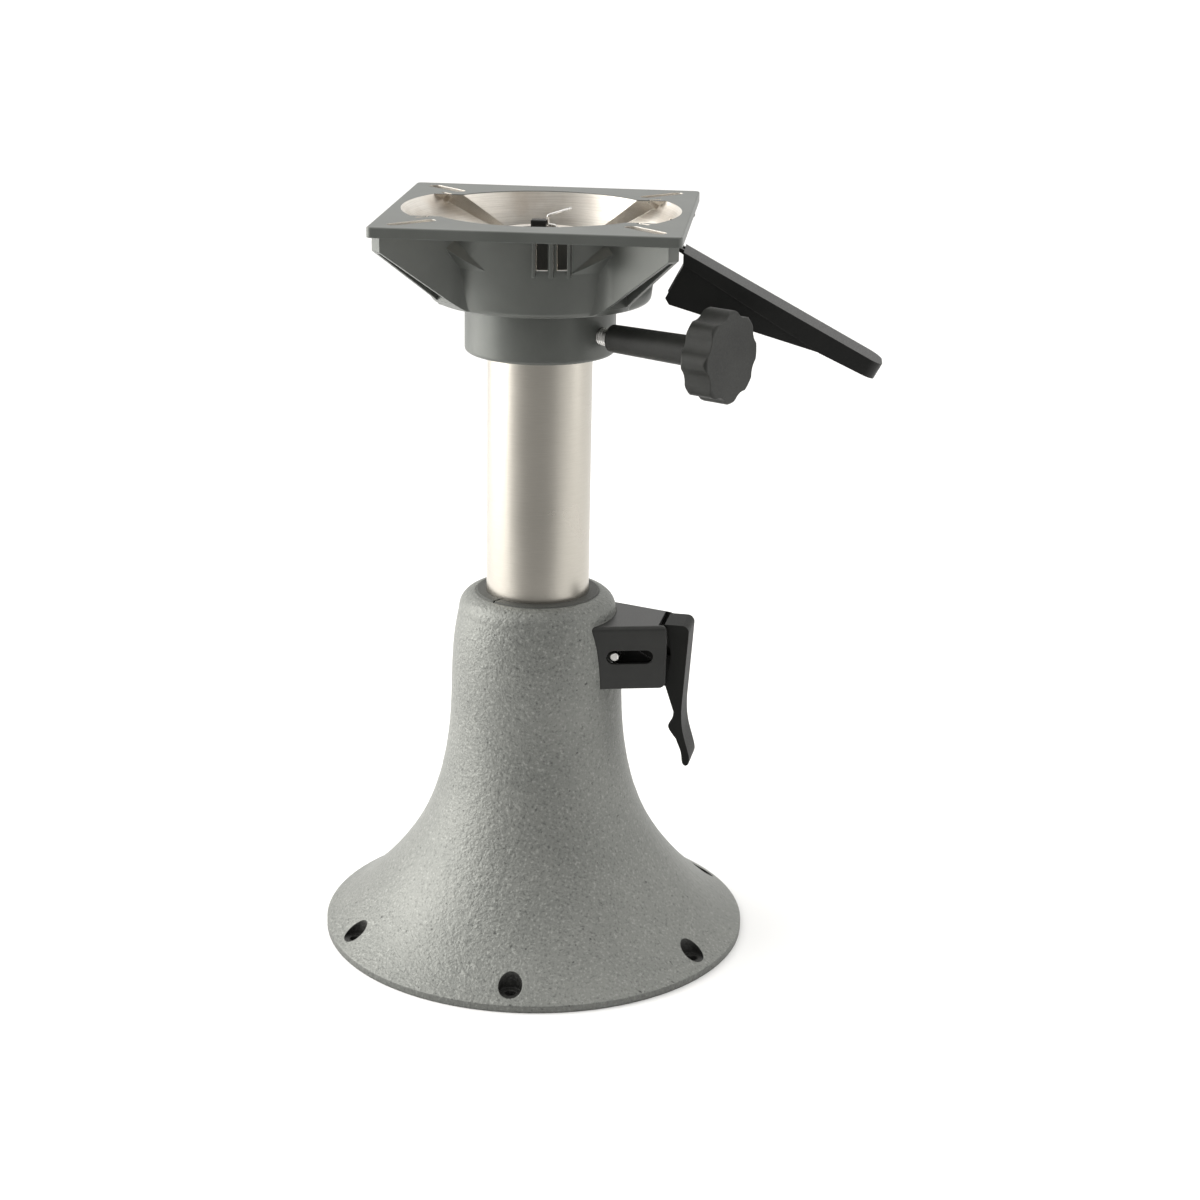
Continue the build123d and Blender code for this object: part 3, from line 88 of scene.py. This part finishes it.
# Thread of the stud and bends of the wire clip, in metres
STUD_PITCH = 0.0015
STUD_AROUND = 28
STUD_STEPS_PER_TURN = 8
STUD_THREAD_DEPTH = 0.0007425
STUD_TIP_ROUND = 0.0007
WIRE_RADIUS = 0.0008
WIRE_CORNER = 0.0011
WIRE_BEND_STEPS = 5
WIRE_AROUND = 14
WIRE_PATH = [(0.0013, 0.0137, 0.4220), (0.0067, 0.0137, 0.4220), (0.0067, 0.0137, 0.4252),
             (0.0021, 0.0137, 0.4258), (0.0021, 0.0137, 0.4308), (0.0153, 0.0167, 0.4350)]


# Camera
def make_camera():
    """Camera at the photograph's place, angle and lens."""
    data = bpy.data.cameras.new("photo_camera")
    data.lens = CAMERA_LENS
    data.sensor_width = 36.0
    data.clip_end = 50.0
    camera = bpy.data.objects.new("photo_camera", data)
    turn = Matrix.Rotation(math.radians(CAMERA_HEADING), 4, "Z")
    turn = turn @ Matrix.Rotation(math.radians(90.0 - CAMERA_PITCH), 4, "X")
    turn = turn @ Matrix.Rotation(math.radians(CAMERA_ROLL), 4, "Z")
    camera.matrix_world = Matrix.Translation(CAMERA_PLACE) @ turn
    bpy.context.scene.collection.objects.link(camera)
    bpy.context.scene.camera = camera


# Lights and floor
def make_light(name, place, size, power):
    """Soft area light, aimed at the middle of the part."""
    data = bpy.data.lights.new(name, "AREA")
    data.shape = "RECTANGLE"
    data.size, data.size_y = size
    data.energy = power
    data.color = LIGHT_TONE
    light = bpy.data.objects.new(name, data)
    light.location = place
    aim = LIGHT_TARGET - Vector(place)
    light.rotation_euler = aim.to_track_quat("-Z", "Y").to_euler()
    bpy.context.scene.collection.objects.link(light)


def facing(tree, place, direction, span, values):
    """World brightness that changes with the angle to a direction."""
    dot = tree.nodes.new("ShaderNodeVectorMath")
    dot.operation = "DOT_PRODUCT"
    dot.inputs[1].default_value = direction
    tree.links.new(place, dot.inputs[0])
    blend = tree.nodes.new("ShaderNodeMapRange")
    blend.interpolation_type = "SMOOTHSTEP"
    blend.inputs["From Min"].default_value, blend.inputs["From Max"].default_value = span
    blend.inputs["To Min"].default_value, blend.inputs["To Max"].default_value = values
    tree.links.new(dot.outputs["Value"], blend.inputs["Value"])
    return blend.outputs["Result"]


def make_world():
    """White backdrop that lights the part with a bright ceiling and a dim room at its front."""
    world = bpy.data.worlds.new("studio_world")
    world.use_nodes = True
    tree = world.node_tree
    place = tree.nodes.new("ShaderNodeTexCoord").outputs["Generated"]
    room = facing(tree, place, ROOM_SIDE, ROOM_SPAN, (1.0, ROOM_LEVEL))
    ceiling = facing(tree, place, CEILING_SIDE, CEILING_SPAN, (1.0, CEILING_LEVEL))
    level = tree.nodes.new("ShaderNodeMath")
    level.operation = "MULTIPLY"
    tree.links.new(room, level.inputs[0])
    tree.links.new(ceiling, level.inputs[1])
    seen = tree.nodes.new("ShaderNodeLightPath").outputs["Is Camera Ray"]
    shown = tree.nodes.new("ShaderNodeMix")
    shown.inputs["B"].default_value = BACKDROP_LEVEL
    tree.links.new(seen, shown.inputs["Factor"])
    tree.links.new(level.outputs[0], shown.inputs["A"])
    background = tree.nodes["Background"]
    background.inputs["Color"].default_value = WORLD_TONE
    tree.links.new(shown.outputs[0], background.inputs["Strength"])
    bpy.context.scene.world = world
    bpy.context.scene.view_settings.view_transform = "Standard"


def make_studio():
    """Lights and a white table top whose front edge stays below the picture."""
    make_world()
    make_light("key_left", KEY_PLACE, KEY_SIZE, KEY_POWER)
    make_light("fill_right", FILL_PLACE, FILL_SIZE, FILL_POWER)
    form = bmesh.new()
    corners = [(-TABLE_HALF, TABLE_FRONT), (TABLE_HALF, TABLE_FRONT), (TABLE_HALF, TABLE_BACK),
               (-TABLE_HALF, TABLE_BACK)]
    form.faces.new([form.verts.new((x, y, -TABLE_GAP)) for x, y in corners])
    mesh = bpy.data.meshes.new("floor")
    form.to_mesh(mesh)
    form.free()
    floor = bpy.data.objects.new("floor", mesh)
    bpy.context.scene.collection.objects.link(floor)
    return floor


# Material helpers
class Recipe:
    """Short way to wire a procedural material."""

    def __init__(self, name):
        self.material = bpy.data.materials.new(name)
        self.material.use_nodes = True
        self.tree = self.material.node_tree
        self.shader = self.tree.nodes["Principled BSDF"]
        self.place = self.tree.nodes.new("ShaderNodeTexCoord").outputs["Object"]

    def add(self, kind, inputs=None, **settings):
        node = self.tree.nodes.new(kind)
        for key, value in settings.items():
            setattr(node, key, value)
        for key, value in (inputs or {}).items():
            self.feed(node.inputs[key], value)
        return node

    def feed(self, socket, value):
        if isinstance(value, bpy.types.NodeSocket):
            self.tree.links.new(value, socket)
        else:
            socket.default_value = value

    def set(self, **values):
        for key, value in values.items():
            self.feed(self.shader.inputs[key.replace("_", " ")], value)

    def noise(self, scale, detail=3.0, roughness=0.55, place=None):
        node = self.add("ShaderNodeTexNoise", {"Vector": place or self.place, "Scale": scale,
                                               "Detail": detail, "Roughness": roughness})
        return node.outputs["Fac"]

    def ramp(self, value, low, high, low_to=0.0, high_to=1.0):
        node = self.add("ShaderNodeMapRange", {"Value": value, "From Min": low, "From Max": high,
                                               "To Min": low_to, "To Max": high_to})
        return node.outputs["Result"]

    def math(self, kind, first, second=0.0):
        return self.add("ShaderNodeMath", {0: first, 1: second}, operation=kind).outputs[0]

    def tint(self, factor, first, second):
        node = self.add("ShaderNodeMix", {"Factor": factor}, data_type="RGBA")
        self.feed(node.inputs["A"], (*first, 1.0) if isinstance(first, tuple) else first)
        self.feed(node.inputs["B"], (*second, 1.0) if isinstance(second, tuple) else second)
        return node.outputs["Result"]

    def bump(self, height, distance, strength, edge):
        """Fine relief over edges that look rounded by a small radius."""
        rounded = self.add("ShaderNodeBevel", {"Radius": edge}, samples=6).outputs["Normal"]
        node = self.add("ShaderNodeBump", {"Height": height, "Distance": distance,
                                           "Strength": strength, "Normal": rounded})
        self.feed(self.shader.inputs["Normal"], node.outputs["Normal"])

    def axes(self):
        node = self.add("ShaderNodeSeparateXYZ", {"Vector": self.place})
        return node.outputs["X"], node.outputs["Y"], node.outputs["Z"]

    def level_part(self):
        """Place with its height left out."""
        x, y, z = self.axes()
        return self.add("ShaderNodeCombineXYZ", {"X": x, "Y": y}).outputs["Vector"]

    def axis_distance(self):
        """Distance from the upright axis."""
        return self.add("ShaderNodeVectorMath", {0: self.level_part()},
                        operation="LENGTH").outputs["Value"]

    def outward(self):
        """How far a face looks away from the upright axis: -1 to 1."""
        away = self.add("ShaderNodeVectorMath", {0: self.level_part()},
                        operation="NORMALIZE").outputs["Vector"]
        normal = self.tree.nodes.new("ShaderNodeTexCoord").outputs["Normal"]
        return self.add("ShaderNodeVectorMath", {0: normal, 1: away},
                        operation="DOT_PRODUCT").outputs["Value"]

    def edge_wear(self, radius):
        """One along sharp outer edges and nothing on flat faces."""
        normal = self.add("ShaderNodeNewGeometry").outputs["Normal"]
        rounded = self.add("ShaderNodeBevel", {"Radius": radius}, samples=6).outputs["Normal"]
        dot = self.add("ShaderNodeVectorMath", {0: normal, 1: rounded}, operation="DOT_PRODUCT")
        return self.ramp(dot.outputs["Value"], 0.985, 0.86)


# Materials
def grained_paint():
    """Light grey paint on a sand-cast skin: close round grains, faint mottling, a few pits and painted
    shade in the pockets over the deck holes.
    """
    recipe = Recipe("grained_paint")
    x, y, z = recipe.axes()
    radius = recipe.axis_distance()
    mottle = recipe.noise(22.0, 4.0)
    grain = recipe.noise(620.0, 2.0, 0.6)
    color = recipe.tint(recipe.ramp(mottle, 0.3, 0.7), (0.178, 0.184, 0.172), (0.210, 0.215, 0.201))
    speck = recipe.ramp(grain, 0.56, 0.70)
    color = recipe.tint(recipe.math("MULTIPLY", speck, 0.6), color, (0.36, 0.368, 0.345))
    hollow = recipe.ramp(grain, 0.44, 0.30)
    color = recipe.tint(recipe.math("MULTIPLY", hollow, 0.65), color, (0.075, 0.079, 0.074))
    pits = recipe.ramp(recipe.noise(330.0, 1.0, 0.4), 0.245, 0.215)
    color = recipe.tint(recipe.math("MULTIPLY", pits, 0.6), color, (0.03, 0.032, 0.03))
    rim = recipe.ramp(z, RIM_HEIGHT + 0.0002, RIM_HEIGHT - 0.0002)
    color = recipe.tint(recipe.math("MULTIPLY", rim, 0.40), color, (0.06, 0.062, 0.058))
    # Painted shade: the pockets over the deck holes are painted nearly black.
    color = recipe.tint(recipe.math("MULTIPLY", deck_pocket_shade(recipe, x, y, radius), 0.88), color,
                        (0.012, 0.012, 0.011))
    height = recipe.math("ADD", grain, recipe.math("MULTIPLY", recipe.noise(240.0, 2.0), 1.2))
    height = recipe.math("SUBTRACT", height, pits)
    recipe.set(Base_Color=color, Roughness=recipe.ramp(grain, 0.3, 0.7, 0.42, 0.56), Metallic=0.5)
    recipe.bump(height, 0.00055, 0.9, 0.0012)
    return recipe.material


def deck_pocket_shade(recipe, x, y, radius):
    """One inside the round pockets over the deck holes: the mask for the painted shade in them."""
    angle = recipe.math("ADD", recipe.math("ARCTAN2", y, x), 2 * math.pi)
    sector = 2 * math.pi / DECK_HOLE_COUNT
    local = recipe.math("SUBTRACT", recipe.math("MODULO", angle, sector), sector / 2)
    out = recipe.math("SUBTRACT", recipe.math("MULTIPLY", radius, recipe.math("COSINE", local)),
                      DECK_HOLE_CIRCLE)
    side = recipe.math("MULTIPLY", radius, recipe.math("SINE", local))
    away = recipe.math("SQRT", recipe.math("ADD", recipe.math("MULTIPLY", out, out),
                                           recipe.math("MULTIPLY", side, side)))
    return recipe.ramp(away, DECK_POCKET_RADIUS + 0.0002, DECK_POCKET_RADIUS + 0.0001)


def mount_paint():
    """Smooth grey paint, with the turned bowl left as bare aluminium and the hub's outer face painted
    nearly black as painted shade.
    """
    recipe = Recipe("mount_paint")
    x, y, z = recipe.axes()
    radius = recipe.axis_distance()
    above_floor = recipe.ramp(z, FLOOR_TOP - 0.0012, FLOOR_TOP - 0.0008)
    below_top = recipe.ramp(z, PLATE_TOP - 0.0003, PLATE_TOP - 0.0006)
    wall = recipe.ramp(z, FLOOR_TOP, PLATE_TOP, BOWL_FLOOR_RADIUS, BOWL_MOUTH_RADIUS)
    in_bowl = recipe.ramp(recipe.math("SUBTRACT", wall, radius), -0.0009, -0.0007)
    cone = recipe.ramp(z, FLOOR_TOP, PLATE_TOP, POCKET_FLOOR_RADIUS, POCKET_MOUTH_RADIUS)
    in_cone = recipe.ramp(recipe.math("SUBTRACT", cone, radius), -0.0012, -0.0010)
    rise = recipe.math("SUBTRACT", z, FLOOR_TOP)
    spread = recipe.math("SQRT", recipe.math("ADD", recipe.math("MULTIPLY", y, y),
                                             recipe.math("MULTIPLY", rise, rise)))
    in_barrel = recipe.ramp(spread, POCKET_BARREL + 0.0006, POCKET_BARREL + 0.0004)
    inside = recipe.math("MAXIMUM", in_bowl, recipe.math("MULTIPLY", in_cone, in_barrel))
    outer = recipe.ramp(recipe.outward(), 0.25, 0.35, 1.0, 0.0)
    inside = recipe.math("MULTIPLY", inside, outer)
    bare = recipe.math("MULTIPLY", recipe.math("MULTIPLY", above_floor, below_top), inside)
    bare = recipe.math("MAXIMUM", bare, slot_walls(recipe, x, y, z, radius))
    mottle = recipe.noise(30.0, 4.0)
    paint = recipe.tint(recipe.ramp(mottle, 0.3, 0.7), (0.098, 0.104, 0.096), (0.118, 0.124, 0.115))
    streaks = recipe.noise(1.0, 3.0, 0.6, turned_place(recipe, 3200.0, 14.0))
    metal = recipe.tint(recipe.ramp(streaks, 0.3, 0.7), (0.70, 0.665, 0.61), (0.93, 0.89, 0.83))
    stain = recipe.ramp(recipe.noise(42.0, 4.0), 0.45, 0.75)
    metal = recipe.tint(recipe.math("MULTIPLY", stain, 0.45), metal, (0.46, 0.37, 0.28))
    worn = recipe.math("MULTIPLY", recipe.edge_wear(0.0007), recipe.ramp(recipe.noise(70.0), 0.46, 0.62))
    paint = recipe.tint(recipe.math("MULTIPLY", worn, 0.35), paint, (0.30, 0.31, 0.31))
    # Painted shade: the hub's outer face down in the bowl is painted nearly black and given almost no
    # gloss.
    hub = recipe.math("MULTIPLY", recipe.ramp(radius, HUB_RADIUS + 0.0014, HUB_RADIUS + 0.0010),
                      recipe.math("MULTIPLY", above_floor, recipe.ramp(z, HUB_TOP, HUB_TOP - 0.002)))
    paint = recipe.tint(recipe.math("MULTIPLY", hub, 0.85), paint, (0.012, 0.012, 0.012))
    recipe.set(Base_Color=recipe.tint(bare, paint, metal), Metallic=recipe.ramp(bare, 0.0, 1.0, 0.35, 1.0),
               Specular_IOR_Level=recipe.ramp(hub, 0.0, 1.0, 0.5, 0.05),
               Roughness=recipe.add("ShaderNodeMix", {"Factor": bare, "A": 0.40, "B": 0.36}).outputs[0])
    fine = recipe.noise(900.0, 2.0)
    rings = recipe.math("MULTIPLY", recipe.math("MULTIPLY", streaks, bare), 1.4)
    recipe.bump(recipe.math("ADD", recipe.math("MULTIPLY", fine, 0.5), rings), 0.00008, 0.6, 0.0006)
    return recipe.material


def slot_walls(recipe, x, y, z, radius):
    """One on the upright walls of the plate's slots, where the cutter left bare metal."""
    in_plate = recipe.math("MULTIPLY", recipe.ramp(z, PLATE_BOTTOM - 0.0002, PLATE_BOTTOM),
                           recipe.ramp(z, PLATE_TOP, PLATE_TOP - 0.0002))
    reach = recipe.math("MAXIMUM", recipe.math("ABSOLUTE", x), recipe.math("ABSOLUTE", y))
    within = recipe.ramp(reach, PLATE_HALF - 0.0010, PLATE_HALF - 0.0014)
    past_bowl = recipe.ramp(radius, SLOT_START - 0.0020, SLOT_START - 0.0016)
    return recipe.math("MULTIPLY", recipe.math("MULTIPLY", in_plate, within), past_bowl)


def turned_place(recipe, across, along):
    """Coordinates stretched round the axis, so a noise in them looks lathe-turned."""
    x, y, z = recipe.axes()
    angle = recipe.math("ARCTAN2", y, x)
    radius = recipe.axis_distance()
    run = recipe.add("ShaderNodeCombineXYZ", {"X": recipe.math("MULTIPLY", radius, across),
                                              "Y": recipe.math("MULTIPLY", z, across),
                                              "Z": recipe.math("MULTIPLY", angle, along / 6.3)})
    return run.outputs["Vector"]


def satin_stainless():
    """Stainless tube with a fine brushed finish round it."""
    recipe = Recipe("satin_stainless")
    lines = recipe.noise(1.0, 3.0, 0.65, turned_place(recipe, 5200.0, 20.0))
    cloud = recipe.noise(16.0, 3.0)
    color = recipe.tint(recipe.ramp(lines, 0.25, 0.75), (0.455, 0.43, 0.382), (0.53, 0.503, 0.453))
    recipe.set(Base_Color=color, Metallic=1.0, Roughness=recipe.ramp(cloud, 0.3, 0.7, 0.25, 0.33),
               Anisotropic=0.55)
    recipe.bump(lines, 0.00001, 0.5, 0.0004)
    return recipe.material


def black_satin(name, base, rough, gloss, grain=1100.0, depth=0.00005):
    """Black moulded plastic or coated sheet with a fine even grain and rubbed edges."""
    recipe = Recipe(name)
    fine = recipe.noise(grain, 2.0)
    tone = Vector((1.0, 1.04, 0.94))
    dark, light = tuple(base * tone), tuple(base * 1.5 * tone)
    color = recipe.tint(recipe.ramp(recipe.noise(55.0, 3.0), 0.35, 0.7), dark, light)
    rubbed = recipe.math("MULTIPLY", recipe.edge_wear(0.0006), 0.45)
    color = recipe.tint(rubbed, color, tuple(base * 5.0 * tone))
    recipe.set(Base_Color=color, Specular_IOR_Level=gloss,
               Roughness=recipe.ramp(fine, 0.3, 0.7, rough - 0.05, rough + 0.08))
    recipe.bump(fine, depth, 0.7, 0.0007)
    return recipe.material


def bright_steel():
    """Zinc-plated small steel: light metal with cloudy roughness."""
    recipe = Recipe("bright_steel")
    cloud = recipe.noise(160.0, 3.0)
    color = recipe.tint(recipe.ramp(cloud, 0.3, 0.7), (0.58, 0.57, 0.55), (0.74, 0.73, 0.71))
    recipe.set(Base_Color=color, Metallic=1.0, Roughness=recipe.ramp(cloud, 0.3, 0.7, 0.20, 0.34))
    recipe.bump(recipe.noise(1500.0, 2.0), 0.00001, 0.5, 0.0003)
    return recipe.material


def cast_aluminium():
    """Plain cast metal of the plug."""
    recipe = Recipe("cast_aluminium")
    grain = recipe.noise(420.0, 3.0)
    color = recipe.tint(recipe.ramp(grain, 0.3, 0.7), (0.34, 0.335, 0.32), (0.46, 0.455, 0.44))
    recipe.set(Base_Color=color, Metallic=0.9, Roughness=recipe.ramp(grain, 0.3, 0.7, 0.42, 0.58))
    recipe.bump(grain, 0.0001, 0.7, 0.0004)
    return recipe.material


def pale_floor():
    """Plain pale studio floor."""
    recipe = Recipe("pale_floor")
    tone = recipe.tint(recipe.noise(3.0, 2.0), (0.90, 0.90, 0.90), (0.92, 0.92, 0.92))
    recipe.set(Base_Color=tone, Roughness=0.75)
    return recipe.material


def dress(material, *names):
    """Give solids their material."""
    for name in names:
        mesh = nodes[name].data
        mesh.materials.clear()
        mesh.materials.append(material)


def new_piece(name, form, material, body, solid):
    """Turn a bmesh into a piece that rides on a body in place of one of the solids."""
    mesh = bpy.data.meshes.new(name)
    form.to_mesh(mesh)
    form.free()
    mesh.materials.append(material)
    for face in mesh.polygons:
        face.use_smooth = True
    piece = bpy.data.objects.new(name, mesh)
    bpy.context.scene.collection.objects.link(piece)
    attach(piece, body)
    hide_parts(solid)


def join_rings(form, rings):
    """Skin a row of rings that have equally many points, and close both ends."""
    around = len(rings[0])
    for lower, upper in zip(rings, rings[1:]):
        for index in range(around):
            after = (index + 1) % around
            form.faces.new((lower[index], lower[after], upper[after], upper[index]))
    form.faces.new(list(reversed(rings[0])))
    form.faces.new(rings[-1])


def knob_frame():
    """Matrix from a frame along +Z on the knob's axis to the row frame."""
    turn = Matrix.Rotation(math.radians(KNOB_AZIMUTH), 4, "Z") @ Matrix.Rotation(math.pi / 2, 4, "Y")
    return Matrix.Translation((0.0, 0.0, KNOB_Z)) @ turn


# Threaded stud of the friction knob
def make_threaded_stud(material):
    """Round stud whose skin follows the thread's helix, with a tapered tip."""
    form = bmesh.new()
    steps = int((STUD_END - STUD_START) / STUD_PITCH * STUD_STEPS_PER_TURN)
    rings = []
    for step in range(steps + 1):
        along = STUD_START + (STUD_END - STUD_START) * step / steps
        taper = min(1.0, (along - STUD_START) / STUD_PITCH)
        ring = []
        for index in range(STUD_AROUND):
            angle = 2 * math.pi * index / STUD_AROUND
            phase = (along / STUD_PITCH - index / STUD_AROUND) % 1.0
            groove = abs(2.0 * phase - 1.0)
            radius = STUD_RADIUS - STUD_THREAD_DEPTH * groove - STUD_TIP_ROUND * (1.0 - taper)
            ring.append(form.verts.new((radius * math.cos(angle), radius * math.sin(angle), along)))
        rings.append(ring)
    join_rings(form, rings)
    bmesh.ops.transform(form, matrix=knob_frame(), verts=form.verts)
    new_piece("threaded_stud", form, material, "knob", "knob_stud")


# Bent wire clip of the swivel lock
def rounded_path(points, corner):
    """The same path with each corner replaced by a short curve."""
    path = [points[0]]
    for before, middle, after in zip(points, points[1:], points[2:]):
        start = middle + (before - middle).normalized() * min(corner, (before - middle).length / 2)
        end = middle + (after - middle).normalized() * min(corner, (after - middle).length / 2)
        for step in range(WIRE_BEND_STEPS + 1):
            share = step / WIRE_BEND_STEPS
            path.append(start.lerp(middle, share).lerp(middle.lerp(end, share), share))
    path.append(points[-1])
    return path


def make_wire_clip(material):
    """Round wire with soft bends, its tail just high enough to clear the hub when it drops."""
    form = bmesh.new()
    path = rounded_path([Vector(point) for point in WIRE_PATH], WIRE_CORNER)
    side = Vector((0.0, 1.0, 0.0))
    rings = []
    for index, place in enumerate(path):
        along = (path[min(index + 1, len(path) - 1)] - path[max(index - 1, 0)]).normalized()
        side = (side - along * side.dot(along)).normalized()
        other = along.cross(side)
        ring = []
        for step in range(WIRE_AROUND):
            angle = 2 * math.pi * step / WIRE_AROUND
            offset = math.cos(angle) * side + math.sin(angle) * other
            ring.append(form.verts.new(place + WIRE_RADIUS * offset))
        rings.append(ring)
    join_rings(form, rings)
    new_piece("wire_clip", form, material, "lock", "lock_clip")


make_camera()
floor = make_studio()
floor.data.materials.append(pale_floor())

steel = bright_steel()
handle_black = black_satin("handle_black", 0.005, 0.42, 0.32)
knob_black = black_satin("knob_black", 0.016, 0.50, 0.30)
black_steel = black_satin("black_steel", 0.010, 0.40, 0.50, 1500.0, 0.00003)
lever_black = black_satin("lever_black", 0.006, 0.52, 0.16, 1500.0, 0.00003)
dark_plastic = black_satin("dark_plastic", 0.040, 0.55, 0.4, 700.0, 0.00006)

dress(grained_paint(), "bell_base")
dress(mount_paint(), "seat_mount")
dress(satin_stainless(), "post_tube")
dress(cast_aluminium(), "post_plug")
dress(handle_black, "swivel_handle", "lock_cap")
dress(knob_black, "friction_knob")
dress(black_steel, "latch_bracket")
dress(lever_black, "release_lever", "pin_rings")
dress(dark_plastic, "neck_bushing", "post_stop", "thrust_washer", "swivel_bushing", "clamp_shoe")
dress(steel, "bracket_screws", "lever_pin", "handle_pivot", "pivot_clips", "lock_pin",
      "lock_cross_pin", "lock_clip", "knob_stud")
make_threaded_stud(steel)
make_wire_clip(steel)
